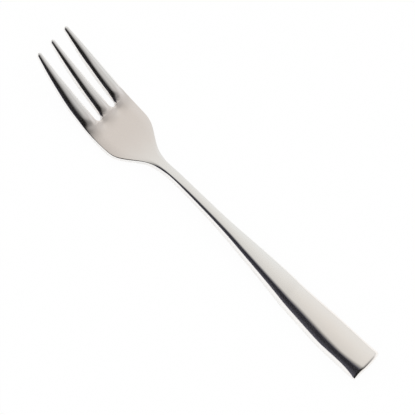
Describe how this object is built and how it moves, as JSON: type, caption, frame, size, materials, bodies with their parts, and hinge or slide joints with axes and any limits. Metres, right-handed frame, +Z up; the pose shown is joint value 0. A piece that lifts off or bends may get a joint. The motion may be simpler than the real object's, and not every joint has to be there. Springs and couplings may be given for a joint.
{
  "type": "pastry fork",
  "caption": "Slim stainless steel pastry fork with three tapering tines, a head that curves up lengthwise, a narrow neck and a handle that widens to a square-cut, slightly turned-up end.",
  "frame": {"origin": "middle of the bounding box in X and Y, at the table plane the fork rests on", "axes": "+Y along the fork toward the tines, +X across the fork, +Z up from the table, the rounded top of the tines and handle facing up"},
  "size_m": [0.0218, 0.15, 0.0104],
  "materials": {
    "steel": "polished stainless steel"
  },
  "bodies": {
    "root": {"fork": "steel"}
  },
  "joints": []
}
